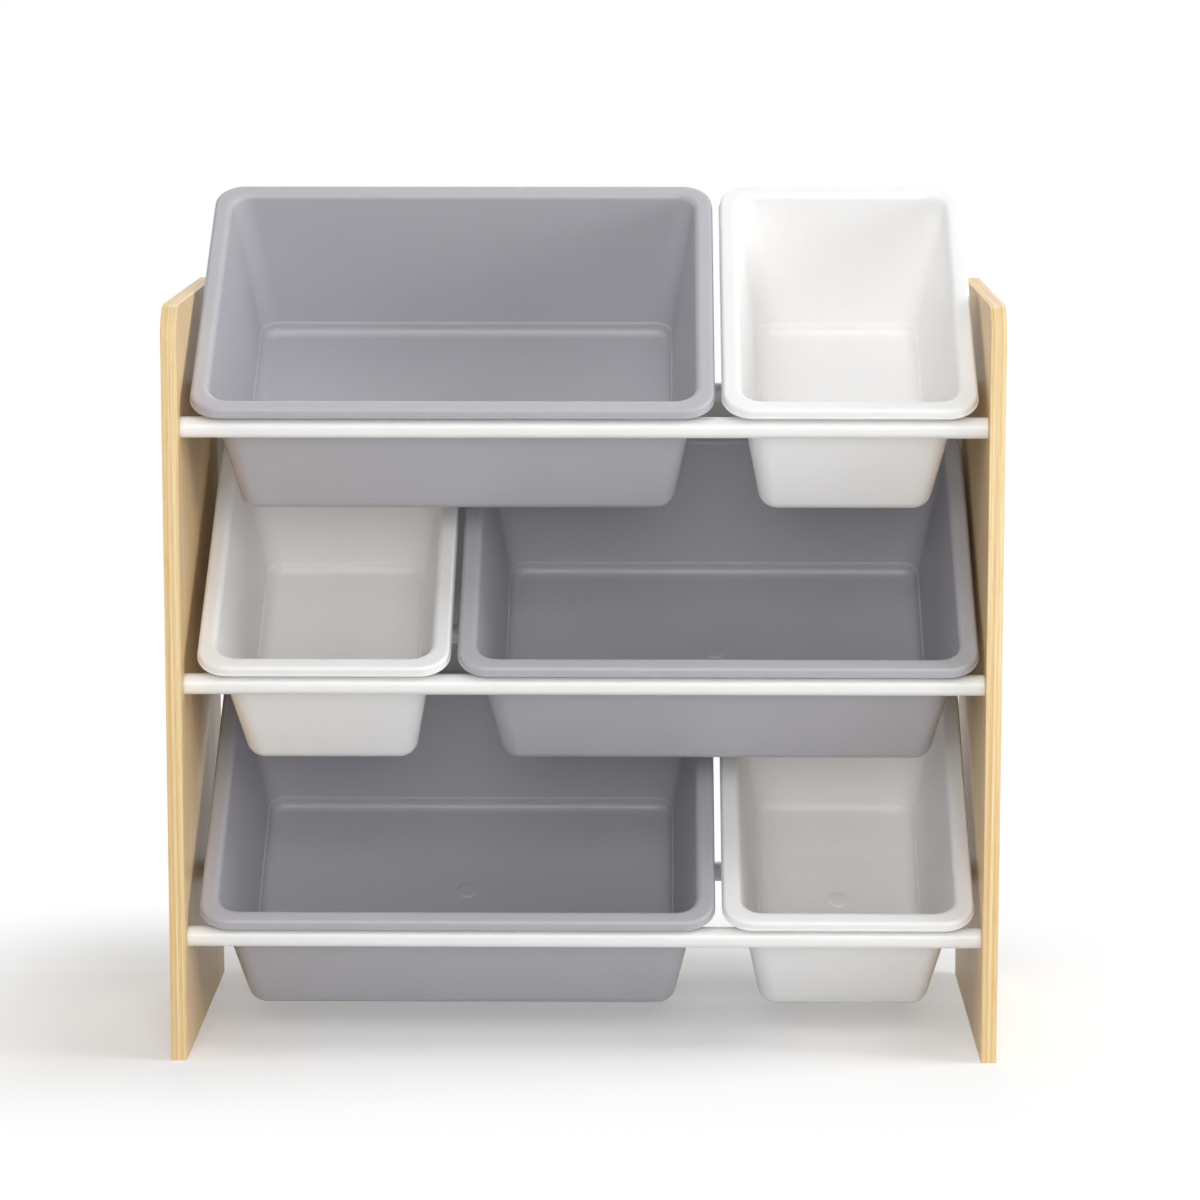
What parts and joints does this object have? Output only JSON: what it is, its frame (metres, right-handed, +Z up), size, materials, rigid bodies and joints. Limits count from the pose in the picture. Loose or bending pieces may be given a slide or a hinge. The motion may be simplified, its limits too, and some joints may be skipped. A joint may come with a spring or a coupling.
{
  "type": "toy storage organizer",
  "caption": "Open rack of two wood-effect side panels joined by steel rails, with tilted lift-out plastic bins in staggered large and small sizes on each tier.",
  "frame": {"origin": "centre of the bounding box's bottom face, on the floor between the side panels", "axes": "+Z up; the open front faces -Y; +X towards the right side panel seen from the front"},
  "size_m": [0.635, 0.2932, 0.6574],
  "materials": {
    "laminated_board": "maple-look laminate with a semi-gloss coat",
    "edge_band": "wood-look edge strip with straight grain",
    "white_enamel": "white powder-coated steel tube",
    "plug_nylon": "moulded nylon",
    "zinc_steel": "zinc-plated steel",
    "white_hardboard": "white-faced hardboard",
    "grey_bin_plastic": "moulded polypropylene, fine satin",
    "white_bin_plastic": "moulded polypropylene, fine satin"
  },
  "bodies": {
    "frame": {"left_side_panel": "laminated_board", "right_side_panel": "laminated_board", "left_edge_band": "edge_band", "right_edge_band": "edge_band", "front_rail_top": "white_enamel", "front_rail_middle": "white_enamel", "front_rail_bottom": "white_enamel", "rear_rail_top": "white_enamel", "rear_rail_middle": "white_enamel", "rear_rail_bottom": "white_enamel", "rail_plugs_left": "plug_nylon", "rail_plugs_right": "plug_nylon", "rail_bolts_left": "zinc_steel", "rail_bolts_right": "zinc_steel", "back_board": "white_hardboard", "back_board_screws": "zinc_steel"},
    "large_bin_bottom": {"large_bin_bottom": "grey_bin_plastic"},
    "small_bin_bottom": {"small_bin_bottom": "white_bin_plastic"},
    "small_bin_middle": {"small_bin_middle": "white_bin_plastic"},
    "large_bin_middle": {"large_bin_middle": "grey_bin_plastic"},
    "large_bin_top": {"large_bin_top": "grey_bin_plastic"},
    "small_bin_top": {"small_bin_top": "white_bin_plastic"}
  },
  "joints": [
    {"name": "large_bin_bottom_lift", "type": "slide", "parent": "frame", "child": "large_bin_bottom", "axis": [0, -0.5419, 0.8405], "range_m": [0, 0.036]},
    {"name": "small_bin_bottom_lift", "type": "slide", "parent": "frame", "child": "small_bin_bottom", "axis": [0, -0.5419, 0.8405], "range_m": [0, 0.036]},
    {"name": "small_bin_middle_lift", "type": "slide", "parent": "frame", "child": "small_bin_middle", "axis": [0, -0.5419, 0.8405], "range_m": [0, 0.036]},
    {"name": "large_bin_middle_lift", "type": "slide", "parent": "frame", "child": "large_bin_middle", "axis": [0, -0.5419, 0.8405], "range_m": [0, 0.036]},
    {"name": "large_bin_top_lift", "type": "slide", "parent": "frame", "child": "large_bin_top", "axis": [0, -0.5419, 0.8405], "range_m": [0, 0.15]},
    {"name": "small_bin_top_lift", "type": "slide", "parent": "frame", "child": "small_bin_top", "axis": [0, -0.5419, 0.8405], "range_m": [0, 0.15]}
  ]
}
